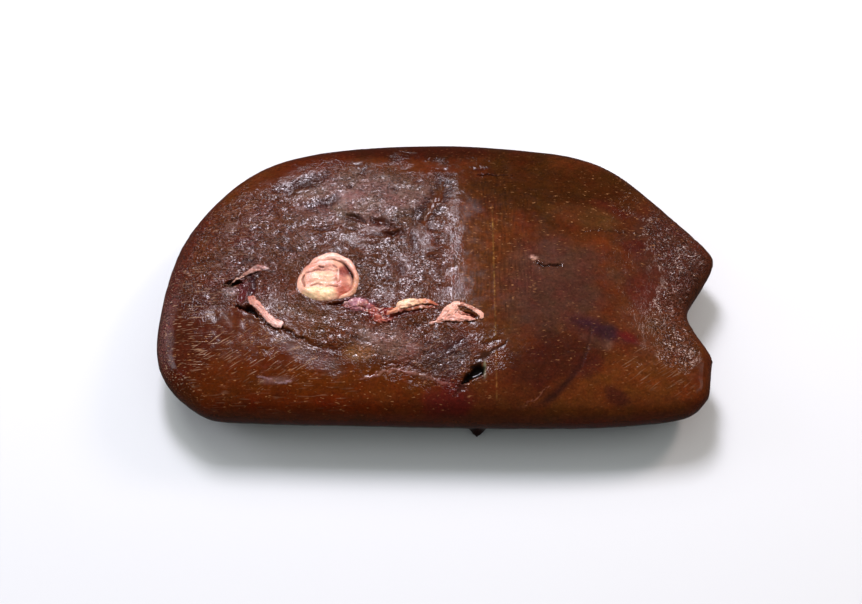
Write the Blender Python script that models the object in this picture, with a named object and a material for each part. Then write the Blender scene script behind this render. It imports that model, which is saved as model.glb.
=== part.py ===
"""A slab of raw beef liver, modelled in metres with +Z up.

The slab lies on its rounded natural side with its cut face up. X runs along its length, the lobed
end is at +X, and -Y is its front. The origin is at the middle of its underside.
The whole liver is one solid: the cut vessel, its lining and the bile ducts are grown into the face.
"""

import math

import bmesh
import bpy
import numpy as np
from mathutils import Matrix, Vector, noise
from mathutils.bvhtree import BVHTree

# Driving dimensions of the slab
LENGTH = 0.300
DEPTH = 0.173
CROWN_HEIGHT = 0.046  # highest part of the cut face, a little left of the middle
EDGE_HEIGHT = 0.041  # cut face where it starts to roll over at its edge
RIM_HEIGHT = 0.026  # the slab's widest line
SHOULDER = 0.018  # how far the cut face rolls in from the widest line
UNDERCUT = 0.024  # how far the underside draws in below the widest line
LOBE_DROP = 0.005  # how much thinner the slab is at its lobed end

# Widest outline, anticlockwise from the notch, as shares of half the length and half the depth
RIM = [
    (0.880, -0.260),  # bottom of the notch between the two lobes
    (0.941, -0.081),
    (0.997, 0.099),  # tip of the back lobe
    (0.970, 0.220),
    (0.765, 0.621),
    (0.657, 0.792),
    (0.544, 0.891),
    (0.389, 0.950),
    (0.000, 1.000),  # middle of the back
    (-0.447, 0.940),
    (-0.727, 0.736),
    (-0.935, 0.247),
    (-0.998, -0.350),  # blunt end
    (-0.964, -0.702),
    (-0.820, -0.930),
    (-0.693, -0.962),
    (-0.335, -0.982),
    (0.422, -1.000),  # front
    (0.782, -0.961),
    (0.897, -0.892),
    (0.937, -0.783),
    (0.938, -0.674),  # shallow dent in the front lobe
    (0.957, -0.580),
    (0.899, -0.385),
]

# The cut face's fullness: how it droops away from its crown, waves and swells beside the groove
FULLEST_AT = -0.2  # as a share of half the length
DROOP = 0.25
WAVE_HEIGHT = 0.0012
WAVE_LENGTH = 0.038
GROOVE_SWELL = 0.0012
SWELL_AWAY = 0.010
SWELL_SPREAD = 0.007

# The fold beside the front lobe: an arc that opens a little as it runs back
FOLD_CENTRE = (0.022, -0.030)
FOLD_RADIUS = 0.0525
FOLD_OPENING = 0.0030
FOLD_FROM = -91.0  # degrees
FOLD_TO = -6.0
FOLD_POINTS = 9
FOLD_WIDTH = 0.0012  # half its width at the middle
FOLD_STEP = 0.0012  # how far the front lobe's brow stands over it
FOLD_BROW = 0.006  # how wide the brow's rise is

# The cut end of the large vessel: an oval wall round its folded lining
VESSEL = (-0.0593, -0.0118)
VESSEL_SIZE = (0.0153, 0.0127)  # half sizes of the wall's middle line
VESSEL_WALL = 0.0021  # half the wall's thickness
VESSEL_POINTS = 12
VESSEL_CORNERS = 0.06  # how far its three soft corners are drawn out
VESSEL_THINNING = 0.15  # how much thinner the wall is on its right
LINING = (-0.0618, -0.0132)
LINING_SIZE = (0.0125, 0.0092, 0.0030)
LINING_TOP = 0.0021  # how far the lining stands over the cut face

# Soft strips on the cut face: (x, y, half width) along each
LEFT_DUCT = [
    (-0.1035, -0.0185, 0.0010),
    (-0.0975, -0.0235, 0.0020),
    (-0.0905, -0.0295, 0.0016),
    (-0.0855, -0.0345, 0.0018),
    (-0.0812, -0.0385, 0.0010),
]
MEMBRANE = [
    (-0.1155, -0.0110, 0.0006),
    (-0.1085, -0.0072, 0.0009),
    (-0.1010, -0.0035, 0.0009),
    (-0.0935, -0.0005, 0.0006),
]
MIDDLE_DUCT = [
    (-0.0280, -0.0325, 0.0008),
    (-0.0227, -0.0292, 0.0015),
    (-0.0149, -0.0264, 0.0022),
    (-0.0070, -0.0250, 0.0020),
    (-0.0005, -0.0252, 0.0009),
]
RIGHT_DUCT = [
    (-0.0060, -0.0375, 0.0007),
    (-0.0005, -0.0350, 0.0015),
    (0.0055, -0.0305, 0.0023),
    (0.0112, -0.0262, 0.0014),
]
RIGHT_DUCT_LIP = [
    (0.0040, -0.0335, 0.0015),
    (0.0125, -0.0345, 0.0015),
    (0.0205, -0.0350, 0.0014),
    (0.0228, -0.0322, 0.0012),
    (0.0180, -0.0288, 0.0010),
    (0.0120, -0.0272, 0.0009),
]
TORN_TISSUE = [
    (-0.0540, -0.0262, 0.0012),
    (-0.0470, -0.0275, 0.0028),
    (-0.0395, -0.0290, 0.0024),
    (-0.0330, -0.0325, 0.0027),
    (-0.0270, -0.0335, 0.0012),
]
FLAP = (0.0195, -0.0740, 0.0043)  # torn scrap that lies under the front edge
FLAP_SIZE = (0.0056, 0.0105, 0.0038)

# Cuts in the cut face: (x, y, half width) along each
LUMEN = [
    (-0.0600, -0.0022, 0.0007),
    (-0.0545, -0.0042, 0.0011),
    (-0.0500, -0.0075, 0.0014),
    (-0.0475, -0.0125, 0.0015),
    (-0.0482, -0.0178, 0.0015),
    (-0.0530, -0.0222, 0.0009),
]
BACK_LINING_FOLD = [
    (-0.0715, -0.0085, 0.0004),
    (-0.0655, -0.0070, 0.0007),
    (-0.0590, -0.0078, 0.0004),
]
FRONT_LINING_FOLD = [
    (-0.0718, -0.0125, 0.0006),
    (-0.0705, -0.0160, 0.0009),
    (-0.0640, -0.0165, 0.0006),
    (-0.0560, -0.0160, 0.0004),
]
LEFT_GAP = [
    (-0.1075, -0.0215, 0.0008),
    (-0.1015, -0.0258, 0.0018),
    (-0.0945, -0.0312, 0.0014),
    (-0.0895, -0.0358, 0.0009),
]
LONG_GROOVE = [
    (-0.0845, -0.0375, 0.0008),
    (-0.0780, -0.0422, 0.0016),
    (-0.0720, -0.0462, 0.0014),
    (-0.0593, -0.0526, 0.0013),
    (-0.0489, -0.0563, 0.0012),
    (-0.0336, -0.0595, 0.0012),
    (-0.0182, -0.0622, 0.0012),
    (-0.0029, -0.0669, 0.0013),
    (0.0080, -0.0718, 0.0008),
]
DARK_SLOT = [
    (0.0050, -0.0735, 0.0009),
    (0.0100, -0.0674, 0.0021),
    (0.0150, -0.0614, 0.0040),
    (0.0200, -0.0562, 0.0030),
    (0.0265, -0.0506, 0.0016),
    (0.0355, -0.0438, 0.0007),
]
RIGHT_NICK = [
    (0.0475, -0.0008, 0.0005),
    (0.0530, -0.0027, 0.0008),
    (0.0592, -0.0012, 0.0009),
    (0.0650, -0.0025, 0.0005),
]
BACK_NICK = [
    (0.0205, 0.0590, 0.0005),
    (0.0310, 0.0597, 0.0008),
    (0.0410, 0.0594, 0.0005),
]
# Hollows in the cut face: (x, y, half length, half width, depth, turn in degrees)
HOLLOWS = [
    (-0.1065, -0.0108, 0.0068, 0.0026, 0.0042, 20),
    (-0.0975, -0.0152, 0.0058, 0.0046, 0.0030, -30),
    (0.0172, -0.0316, 0.0036, 0.0016, 0.0022, -8),
]
HOLLOW_BROW = 0.0015  # how far a hollow's middle lies over the cut face

# How finely everything is divided
SPLINE_STEPS = 16
OUTLINE_STEPS = 900
POLAR_STEPS = 720
BISECTIONS = 16
CORNER_EASE = 500  # averaging steps to each metre of inset
CELLS_LONG = 48
CELLS_DEEP = 30
SHOULDER_ROWS = 4
UNDER_ROWS = 5
EVENING_ROUNDS = 40
PATH_STEPS = 3  # pieces between the points of a strip or cut
STRIP_BEVEL = 2
CUT_BEVEL = 1
BEAD_SEGMENTS = 16
BEAD_RINGS = 10
NEARLY_ONE = 0.999


def catmull_rom(a, b, c, d, t):
    """A point of the curve from b to c, with its neighbours a and d."""
    straight = 2 * b + (c - a) * t
    bend = (2 * a - 5 * b + 4 * c - d) * t**2
    twist = (3 * b - a - 3 * c + d) * t**3
    return (straight + bend + twist) / 2


def rim_curve():
    """The widest outline as a closed smooth curve of evenly spaced points round the origin."""
    points = np.array(RIM) * (LENGTH / 2, DEPTH / 2)
    dense = []
    for i in range(len(points)):
        near = [points[(i + k) % len(points)] for k in (-1, 0, 1, 2)]
        dense += [catmull_rom(*near, t) for t in np.linspace(0, 1, SPLINE_STEPS, endpoint=False)]
    dense = np.array(dense + dense[:1])
    dense -= (dense.min(0) + dense.max(0)) / 2
    along = np.concatenate(([0], np.cumsum(np.linalg.norm(np.diff(dense, axis=0), axis=1))))
    even = np.linspace(0, along[-1], OUTLINE_STEPS, endpoint=False)
    return np.stack([np.interp(even, along, dense[:, axis]) for axis in (0, 1)], 1)


def smoothed(values, steps):
    """A running average round the outline, over 2 * steps + 1 angles."""
    total = sum(np.roll(values, k) for k in range(-steps, steps + 1))
    return total / (2 * steps + 1)


class Outline:
    """The slab's outline, drawn in by any distance and read at any angle round its middle."""

    def __init__(self):
        self.curve = rim_curve()
        self.angles = np.linspace(-math.pi, math.pi, POLAR_STEPS, endpoint=False)
        self.rays = np.stack((np.cos(self.angles), np.sin(self.angles)), 1)
        self.known = {}

    def rim(self):
        angle = np.arctan2(self.curve[:, 1], self.curve[:, 0])
        order = np.argsort(angle)
        reach = np.hypot(self.curve[:, 0], self.curve[:, 1])
        return np.interp(self.angles, angle[order], reach[order], period=2 * math.pi)

    def drawn_in(self, inset):
        """Reach at each angle once every part of the outline has moved in by the same distance."""
        low, high = np.zeros(POLAR_STEPS), self.rim()
        for _ in range(BISECTIONS):
            middle = (low + high) / 2
            away = (middle[:, None] * self.rays)[:, None] - self.curve[None]
            inside = np.hypot(away[..., 0], away[..., 1]).min(1) > inset
            low = np.where(inside, middle, low)
            high = np.where(inside, high, middle)
        return smoothed(low, 1 + int(inset * CORNER_EASE))

    def reach(self, angle, inset):
        key = round(inset, 6)
        if key not in self.known:
            self.known[key] = self.drawn_in(inset) if inset > 0 else self.rim()
        return float(np.interp(angle, self.angles, self.known[key], period=2 * math.pi))


def edge_profile(row):
    """(inset, height share) of one row of the side: shoulder rows come first, then the undercut."""
    if row <= SHOULDER_ROWS:
        turn = math.pi / 2 * (1 - row / SHOULDER_ROWS)
        return SHOULDER * (1 - math.cos(turn)), math.sin(turn)
    turn = math.pi / 2 * (row - SHOULDER_ROWS) / UNDER_ROWS
    return UNDERCUT * (1 - math.cos(turn)), -math.sin(turn)


def away_from_path(path, x, y):
    """Distance to a path of (x, y, half width)."""
    nearest = LENGTH
    for (ax, ay, _), (bx, by, _) in zip(path, path[1:]):
        dx, dy = bx - ax, by - ay
        t = min(max(((x - ax) * dx + (y - ay) * dy) / (dx * dx + dy * dy), 0.0), 1.0)
        nearest = min(nearest, math.hypot(x - ax - t * dx, y - ay - t * dy))
    return nearest


def fold_reach(share):
    """Distance of the fold from its centre, share of the way along it."""
    return FOLD_RADIUS + FOLD_OPENING * share**2


def fold_path():
    """The fold as (x, y, half width), tapering towards both ends."""
    path = []
    for share in np.linspace(0, 1, FOLD_POINTS):
        angle = math.radians(FOLD_FROM + (FOLD_TO - FOLD_FROM) * share)
        x = FOLD_CENTRE[0] + fold_reach(share) * math.cos(angle)
        y = FOLD_CENTRE[1] + fold_reach(share) * math.sin(angle)
        path.append((x, y, FOLD_WIDTH * (0.35 + 0.65 * math.sin(math.pi * share))))
    return path


def fold_brow(x, y):
    """1 on the brow of the front lobe just outside the fold, fading to 0 away from it."""
    dx, dy = x - FOLD_CENTRE[0], y - FOLD_CENTRE[1]
    angle = math.degrees(math.atan2(dy, dx))
    share = (angle - FOLD_FROM) / (FOLD_TO - FOLD_FROM)
    along = math.exp(-(((share - 0.4) / 0.45) ** 4))
    outside = (math.hypot(dx, dy) - fold_reach(share)) / FOLD_BROW
    return along * math.exp(-((outside / 4) ** 2)) / (1 + math.exp(-2 * outside))


def edge_height(x):
    """Height of the cut face where it starts to roll over, less at the lobed end."""
    share = min(max(x / (LENGTH / 2), 0.0), 1.0)
    return EDGE_HEIGHT - LOBE_DROP * share**2


def relief(x, y):
    """Slow waves of soft meat that has settled, and its swelling beside the long cuts."""
    waves = WAVE_HEIGHT * noise.noise(Vector((x / WAVE_LENGTH, y / WAVE_LENGTH, 0.4)))
    from_crest = (away_from_path(LONG_GROOVE, x, y) - SWELL_AWAY) / SWELL_SPREAD
    return waves + GROOVE_SWELL * math.exp(-(from_crest**2)) + FOLD_STEP * fold_brow(x, y)


def crown(x, y, share):
    """Height of the cut face inside the shoulder, where share is 1 at the shoulder's top."""
    rise = CROWN_HEIGHT - EDGE_HEIGHT
    fullness = 1 - DROOP * (x / (LENGTH / 2) - FULLEST_AT) ** 2
    return edge_height(x) + rise * fullness * (1 - share**2) + relief(x, y) * (1 - share**6)


def slab_point(outline, u, v, w):
    """Where a point of the starting cube goes: u, v and w run from -1 to 1."""
    across, along = u * math.sqrt(1 - v * v / 2), v * math.sqrt(1 - u * u / 2)
    angle = math.atan2(along * DEPTH, across * LENGTH)
    rows = SHOULDER_ROWS + UNDER_ROWS
    on_side = max(abs(u), abs(v)) > NEARLY_ONE
    inset, lift = edge_profile(round((1 - w) / 2 * rows) if on_side else 0)
    reach = outline.reach(angle, inset)
    if not on_side:
        reach *= math.hypot(across, along)
    x, y = reach * math.cos(angle), reach * math.sin(angle)
    span = edge_height(x) - RIM_HEIGHT if lift > 0 else RIM_HEIGHT
    return x, y, RIM_HEIGHT + span * lift


def split_edges(bm, axis, pieces):
    """Divides every edge that runs along one axis into equal pieces."""
    edges = []
    for edge in bm.edges:
        run = (edge.verts[0].co - edge.verts[1].co).normalized()
        if abs(run[axis]) > NEARLY_ONE:
            edges.append(edge)
    bmesh.ops.subdivide_edges(bm, edges=edges, cuts=pieces - 1, use_grid_fill=True)


def settle_cut_face(bm, outline, inner):
    """Evens out the cut face's cells inside the shoulder, then lifts them to its height."""
    for _ in range(EVENING_ROUNDS):
        bmesh.ops.smooth_vert(bm, verts=inner, factor=0.5, use_axis_x=True, use_axis_y=True)
    for vert in inner:
        x, y, _ = vert.co
        share = math.hypot(x, y) / outline.reach(math.atan2(y, x), SHOULDER)
        vert.co.z = crown(x, y, min(share, 1.0))


def slab_mesh():
    """The slab's body: a cube divided into cells and shaped into a rounded, lobed slab."""
    outline = Outline()
    bm = bmesh.new()
    bmesh.ops.create_cube(bm, size=2)
    for axis, pieces in enumerate((CELLS_LONG, CELLS_DEEP, SHOULDER_ROWS + UNDER_ROWS)):
        split_edges(bm, axis, pieces)
    bottom = [f for f in bm.faces if f.calc_center_median().z < -NEARLY_ONE]
    bmesh.ops.dissolve_faces(bm, faces=bottom, use_verts=True)
    top = [v for v in bm.verts if v.co.z > NEARLY_ONE]
    inner = [v for v in top if max(abs(v.co.x), abs(v.co.y)) < NEARLY_ONE]
    for vert in bm.verts:
        vert.co = slab_point(outline, *vert.co)
    settle_cut_face(bm, outline, inner)
    bmesh.ops.recalc_face_normals(bm, faces=bm.faces)
    mesh = bpy.data.meshes.new("liver")
    bm.to_mesh(mesh)
    bm.free()
    return mesh


class CutFace:
    """The slab's cut face, which everything on it is set by."""

    def __init__(self, mesh):
        corners = [v.co.copy() for v in mesh.vertices]
        self.tree = BVHTree.FromPolygons(corners, [tuple(p.vertices) for p in mesh.polygons])

    def height(self, x, y):
        spot, _, _, _ = self.tree.ray_cast(Vector((x, y, 2 * CROWN_HEIGHT)), Vector((0, 0, -1)))
        return spot.z

    def lining_height(self, x, y):
        """Height of the vessel's lining, a low dome over the face."""
        away = math.hypot((x - LINING[0]) / LINING_SIZE[0], (y - LINING[1]) / LINING_SIZE[1])
        dome = LINING_SIZE[2] * math.sqrt(max(1 - away * away, 0.0))
        return self.height(*LINING) + LINING_TOP - LINING_SIZE[2] + dome


def add_guide(name, data, collection):
    """An object that only shapes the liver."""
    obj = bpy.data.objects.new(name, data)
    collection.objects.link(obj)
    obj.hide_render = True
    obj.display_type = "WIRE"
    return obj


def add_strip(name, path, height, lift, bevel, collection, closed=False):
    """A round strip along a path of (x, y, half width), its middle lift half widths over a height."""
    curve = bpy.data.curves.new(name, "CURVE")
    curve.dimensions = "3D"
    curve.resolution_u = PATH_STEPS
    curve.bevel_depth = 1
    curve.bevel_resolution = bevel
    curve.use_fill_caps = True
    spline = curve.splines.new("BEZIER")
    spline.bezier_points.add(len(path) - 1)
    spline.use_cyclic_u = closed
    for point, (x, y, radius) in zip(spline.bezier_points, path):
        point.co = (x, y, height(x, y) + lift * radius)
        point.radius = radius
        point.handle_left_type = "AUTO"
        point.handle_right_type = "AUTO"
    line = add_guide(name + "_line", curve, collection)
    bpy.context.view_layer.update()
    shown = line.evaluated_get(bpy.context.evaluated_depsgraph_get())
    mesh = bpy.data.meshes.new_from_object(shown)
    place = line.matrix_world.copy()
    bpy.data.objects.remove(line)
    bm = bmesh.new()
    bm.from_mesh(mesh)
    bmesh.ops.remove_doubles(bm, verts=bm.verts, dist=1e-6)
    bmesh.ops.recalc_face_normals(bm, faces=bm.faces)
    bm.to_mesh(mesh)
    bm.free()
    solid = add_guide(name, mesh, collection)
    solid.matrix_world = place
    return solid


def add_bead(name, centre, half_sizes, turn, collection):
    """A rounded bead, turned about the vertical by an angle in degrees."""
    bm = bmesh.new()
    bmesh.ops.create_uvsphere(bm, u_segments=BEAD_SEGMENTS, v_segments=BEAD_RINGS, radius=1)
    bmesh.ops.transform(bm, matrix=Matrix.Diagonal((*half_sizes, 1)), verts=bm.verts)
    bmesh.ops.transform(bm, matrix=Matrix.Rotation(math.radians(turn), 4, "Z"), verts=bm.verts)
    mesh = bpy.data.meshes.new(name)
    bm.to_mesh(mesh)
    bm.free()
    solid = add_guide(name, mesh, collection)
    solid.location = centre
    return solid


def vessel_wall():
    """The wall's middle line: an oval drawn out a little into three soft corners, one at the back."""
    path = []
    for k in range(VESSEL_POINTS):
        angle = 2 * math.pi * k / VESSEL_POINTS
        stretch = 1 + VESSEL_CORNERS * math.cos(3 * (angle - math.pi / 2))
        x = VESSEL[0] + VESSEL_SIZE[0] * stretch * math.cos(angle)
        y = VESSEL[1] + VESSEL_SIZE[1] * stretch * math.sin(angle)
        path.append((x, y, VESSEL_WALL * (1 - VESSEL_THINNING * math.cos(angle))))
    return path


def add_growths(face, collection):
    """Everything that stands out of the slab."""
    wall = add_strip("vessel_wall", vessel_wall(), face.height, 0.4, STRIP_BEVEL, collection, closed=True)
    x, y = LINING
    centre = (x, y, face.height(x, y) + LINING_TOP - LINING_SIZE[2])
    solids = [wall, add_bead("vessel_lining", centre, LINING_SIZE, 0, collection)]
    strips = {
        "torn_tissue": (TORN_TISSUE, -0.45),
        "left_duct": (LEFT_DUCT, 0.1),
        "membrane": (MEMBRANE, 0.2),
        "middle_duct": (MIDDLE_DUCT, 0.0),
        "right_duct": (RIGHT_DUCT, -0.1),
        "right_duct_lip": (RIGHT_DUCT_LIP, 0.2),
    }
    for name, (path, lift) in strips.items():
        solids.append(add_strip(name, path, face.height, lift, STRIP_BEVEL, collection))
    solids.append(add_bead("flap", FLAP, FLAP_SIZE, 0, collection))
    return solids


def add_cuts(face, collection):
    """Everything that is sunk into the cut face."""
    paths = {
        "lumen": (LUMEN, -0.5),
        "left_gap": (LEFT_GAP, -0.5),
        "long_groove": (LONG_GROOVE, -0.1),
        "dark_slot": (DARK_SLOT, -0.7),
        "fold": (fold_path(), 0.1),
        "right_nick": (RIGHT_NICK, -0.4),
        "back_nick": (BACK_NICK, -0.2),
    }
    solids = []
    for name, (path, lift) in paths.items():
        solids.append(add_strip(name, path, face.height, lift, CUT_BEVEL, collection))
    folds = {"back_lining_fold": BACK_LINING_FOLD, "front_lining_fold": FRONT_LINING_FOLD}
    for name, path in folds.items():
        solids.append(add_strip(name, path, face.lining_height, 0.0, CUT_BEVEL, collection))
    for n, (x, y, long, wide, deep, turn) in enumerate(HOLLOWS):
        centre = (x, y, face.height(x, y) + HOLLOW_BROW)
        half_sizes = (long, wide, deep + HOLLOW_BROW)
        solids.append(add_bead(f"hollow_{n + 1}", centre, half_sizes, turn, collection))
    return solids


def liver_material():
    """Raw liver: dark red brown, wet enough to shine."""
    material = bpy.data.materials.new("raw_liver")
    material.use_nodes = True
    shader = material.node_tree.nodes["Principled BSDF"]
    shader.inputs["Base Color"].default_value = (0.095, 0.031, 0.016, 1)
    shader.inputs["Roughness"].default_value = 0.35
    shader.inputs["Metallic"].default_value = 0
    return material


def combine(liver, solids, operation):
    for solid in solids:
        step = liver.modifiers.new(solid.name, "BOOLEAN")
        step.operation = operation
        step.object = solid


def main():
    for obj in list(bpy.data.objects):
        bpy.data.objects.remove(obj)
    parts = bpy.data.collections.new("raw_liver")
    cutters = bpy.data.collections.new("cutters")
    for collection in (parts, cutters):
        bpy.context.scene.collection.children.link(collection)
    liver = bpy.data.objects.new("liver", slab_mesh())
    parts.objects.link(liver)
    liver.data.materials.append(liver_material())
    liver.data.shade_smooth()
    face = CutFace(liver.data)
    combine(liver, add_growths(face, cutters), "UNION")
    combine(liver, add_cuts(face, cutters), "DIFFERENCE")


main()
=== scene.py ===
import math

import bpy
import numpy as np
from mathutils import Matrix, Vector, noise
from mathutils.bvhtree import BVHTree


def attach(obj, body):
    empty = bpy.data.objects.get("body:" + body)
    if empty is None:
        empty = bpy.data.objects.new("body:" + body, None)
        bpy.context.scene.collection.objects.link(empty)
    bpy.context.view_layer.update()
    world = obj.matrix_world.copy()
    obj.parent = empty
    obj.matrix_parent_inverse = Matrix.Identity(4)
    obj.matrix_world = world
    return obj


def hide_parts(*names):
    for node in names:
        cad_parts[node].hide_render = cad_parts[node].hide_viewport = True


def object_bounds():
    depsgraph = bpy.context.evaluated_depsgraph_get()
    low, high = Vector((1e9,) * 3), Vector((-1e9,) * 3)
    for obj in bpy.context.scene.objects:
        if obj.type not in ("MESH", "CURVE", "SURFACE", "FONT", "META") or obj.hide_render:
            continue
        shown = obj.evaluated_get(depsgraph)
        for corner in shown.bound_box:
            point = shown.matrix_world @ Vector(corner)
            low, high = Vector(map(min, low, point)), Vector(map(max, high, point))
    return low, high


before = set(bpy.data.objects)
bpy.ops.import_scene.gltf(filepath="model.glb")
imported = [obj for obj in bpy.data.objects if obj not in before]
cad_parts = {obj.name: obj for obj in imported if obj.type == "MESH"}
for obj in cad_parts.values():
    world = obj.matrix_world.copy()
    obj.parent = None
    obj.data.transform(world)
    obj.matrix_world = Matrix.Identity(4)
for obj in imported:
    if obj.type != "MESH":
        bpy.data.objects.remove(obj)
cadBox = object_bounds()
mm = 0.001  # places on the liver are written in millimetres: +x to the lobed end, +y to the back


# Small tools

def hexColor(code):
    # sRGB hex turned to linear, with full opacity
    parts = [int(code[i:i + 2], 16) / 255 for i in (1, 3, 5)]
    return tuple(c / 12.92 if c <= 0.04045 else ((c + 0.055) / 1.055) ** 2.4 for c in parts) + (1.0,)


def activate(piece):
    bpy.ops.object.select_all(action="DESELECT")
    piece.select_set(True)
    bpy.context.view_layer.objects.active = piece


def applied(piece, kind, **settings):
    activate(piece)
    modifier = piece.modifiers.new(kind.lower(), kind)
    for key, value in settings.items():
        setattr(modifier, key, value)
    bpy.ops.object.modifier_apply(modifier=modifier.name)


def readPoints(piece, field="co"):
    values = np.empty(len(piece.data.vertices) * 3, np.float32)
    piece.data.vertices.foreach_get(field, values)
    return values.reshape(-1, 3).astype(float)


def writePoints(piece, points):
    piece.data.vertices.foreach_set("co", points.astype(np.float32).ravel())
    piece.data.update()


def writeMask(piece, name, values):
    layer = piece.data.attributes.new(name, "FLOAT", "POINT")
    layer.data.foreach_set("value", np.clip(values, 0, 1).astype(np.float32))


def writeTint(piece, colours):
    layer = piece.data.attributes.new("tint", "FLOAT_COLOR", "POINT")
    rgba = np.ones((len(colours), 4), np.float32)
    rgba[:, :3] = np.clip(colours, 0, 1)
    layer.data.foreach_set("color", rgba.ravel())


def washed(colours, share, code):
    # colours drawn towards one hex colour by a share for each point
    return colours + (np.array(hexColor(code)[:3]) - colours) * np.asarray(share)[:, None]


def step(values, low, high):
    # 0 up to low and 1 from high on, rising smoothly between
    t = np.clip((values - low) / (high - low), 0, 1)
    return t * t * (3 - 2 * t)


def uneven(points, size, stretch=(1, 1, 1), octaves=3, seed=0.0, turn=0):
    # heights from about -1 to 1, in lumps of a size in mm drawn out along x, y or z after a turn
    c, s = math.cos(math.radians(turn)), math.sin(math.radians(turn))
    turned = points @ np.array([(c, -s, 0), (s, c, 0), (0, 0, 1)])
    scaled = turned / (size * mm) / np.array(stretch) + seed
    return np.array([noise.fractal(p, 0.8, 2.1, octaves) for p in scaled.tolist()])


def facets(spots, size, lean, stretch, seed, count=64, jitter=0.4, sharpness=9):
    # heights in mm of softly joined small planes, a size in mm across, that each lean their own way
    rows = np.random.default_rng(seed).uniform(-1, 1, (count, count, 4))
    scaled = spots / (size * np.array(stretch))
    cell = np.floor(scaled).astype(int)
    height, weight = np.zeros(len(spots)), np.zeros(len(spots))
    for across in (-1, 0, 1):
        for along in (-1, 0, 1):
            at = cell + (across, along)
            row = rows[at[:, 0] % count, at[:, 1] % count]
            off = scaled - at - 0.5 - jitter * row[:, :2]
            share = np.exp(-sharpness * (off**2).sum(axis=1))
            height += share * (off * row[:, 2:]).sum(axis=1)
            weight += share
    return lean * size * height / weight


def smoothPath(path, pieces=6):
    # a Catmull-Rom curve through rows of numbers
    path = np.array(path, float)
    ends = np.vstack((2 * path[:1] - path[1:2], path, 2 * path[-1:] - path[-2:-1]))
    rows = []
    for a, b, c, d in zip(ends, ends[1:], ends[2:], ends[3:]):
        for t in np.linspace(0, 1, pieces, endpoint=False):
            rows.append((2 * b + (c - a) * t + (2 * a - 5 * b + 4 * c - d) * t**2
                         + (3 * b - a - 3 * c + d) * t**3) / 2)
    return np.array(rows + [path[-1]])


def beside(spots, path):
    # distance from each spot to a path, its half width there, the share along it and the side
    path = smoothPath(path)
    away, width = np.full(len(spots), 1e3), np.zeros(len(spots))
    share, side = np.zeros(len(spots)), np.zeros(len(spots))
    for n, (a, b) in enumerate(zip(path, path[1:])):
        run = b[:2] - a[:2]
        off = spots - a[:2]
        t = np.clip(off @ run / (run @ run), 0, 1)
        gap = np.hypot(*(off - t[:, None] * run).T)
        near = gap < away
        away[near], width[near] = gap[near], (a[2] + (b[2] - a[2]) * t)[near]
        share[near] = ((n + t) / (len(path) - 1))[near]
        side[near] = np.sign(run[0] * off[:, 1] - run[1] * off[:, 0])[near]
    return away, width, share, side


def patch(spots, x, y, long, wide, turn, soft, wobble=0):
    # 1 inside a turned oval in mm, fading to 0 past it, with an edge that wobbles
    angle = math.radians(turn)
    dx, dy = spots[:, 0] - x, spots[:, 1] - y
    u = (dx * math.cos(angle) + dy * math.sin(angle)) / long
    v = (dy * math.cos(angle) - dx * math.sin(angle)) / wide
    return 1 - step(np.hypot(u, v) + wobble, 1 - soft, 1 + soft)


# Camera, from the photograph's viewing angle

view = dict(place=(-0.00498, -0.37983, 0.65921), tilt=30, lens=56.84)
bpy.ops.object.select_all(action="DESELECT")
bpy.ops.object.camera_add(location=view["place"], rotation=(math.radians(view["tilt"]), 0, 0))
camera = bpy.context.object
camera.data.lens = view["lens"]
camera.data.clip_start = 0.01
bpy.context.scene.camera = camera
bpy.context.scene.view_settings.view_transform = "Standard"

# Studio: a soft sky and a key light from behind give the colour, and the wet face mirrors the softboxes

studio = dict(backdrop="#f7f7f7", ambient=0.05)
suns = dict(
    sky=dict(place=(0, 0, 3), spread=110, strength=1.25, colour="#fdffff"),
    key=dict(place=(-0.7, 1.5, 2.2), spread=24, strength=0.7, colour="#ffffff"),
)
softboxes = dict(
    sheen=dict(place=(-0.130, 0.575, 0.97), aim=(-0.045, 0.012, 0.045), size=(0.205, 0.34), glow=51,
               colour="#f6f0ff"),
    leftSheen=dict(place=(-0.28, 0.60, 0.97), aim=(-0.11, 0.01, 0.045), size=(0.12, 0.20), glow=15,
                   colour="#fff0f4"),
    backStrip=dict(place=(-0.33, 0.85, 0.80), aim=(-0.11, 0, 0.045), size=(0.45, 0.12), glow=3.5,
                   colour="#fff0e6"),
    tipSheen=dict(place=(0.71, 0.52, 0.74), aim=(0.13, 0, 0.045), size=(0.20, 0.26), glow=26,
                  colour="#ffe4dc"),
    left=dict(place=(-1.2, 0.25, 0.62), aim=(-0.1, 0, 0.03), size=(0.7, 0.6), glow=3.4, colour="#f6f2ff"),
    right=dict(place=(1.25, 0.1, 0.7), aim=(0.1, 0, 0.03), size=(0.6, 0.5), glow=1.2, colour="#fff6f0"),
)


def aimed(place, aim):
    return (Vector(aim) - Vector(place)).to_track_quat("-Z", "Y").to_euler()


def addSun(name, place, spread, strength, colour):
    # lights the colour only: the wet surface doesn't mirror it
    bpy.ops.object.light_add(type="SUN", location=place, rotation=aimed(place, (0, 0, 0)))
    lamp = bpy.context.object
    lamp.name = name
    lamp.visible_glossy = False
    lamp.data.angle = math.radians(spread)
    lamp.data.energy = strength
    lamp.data.color = hexColor(colour)[:3]


def addSoftbox(name, place, aim, size, glow, colour):
    bpy.ops.object.light_add(type="AREA", location=place, rotation=aimed(place, aim))
    lamp = bpy.context.object
    lamp.name = name
    lamp.data.shape = "RECTANGLE"
    lamp.data.size, lamp.data.size_y = size
    lamp.data.energy = glow * math.pi * size[0] * size[1]
    lamp.data.color = hexColor(colour)[:3]


for name, values in suns.items():
    addSun(name, **values)
for name, values in softboxes.items():
    addSoftbox(name, **values)

world = bpy.data.worlds.new("studio")
bpy.context.scene.world = world
world.use_nodes = True
world.node_tree.nodes.clear()


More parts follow.
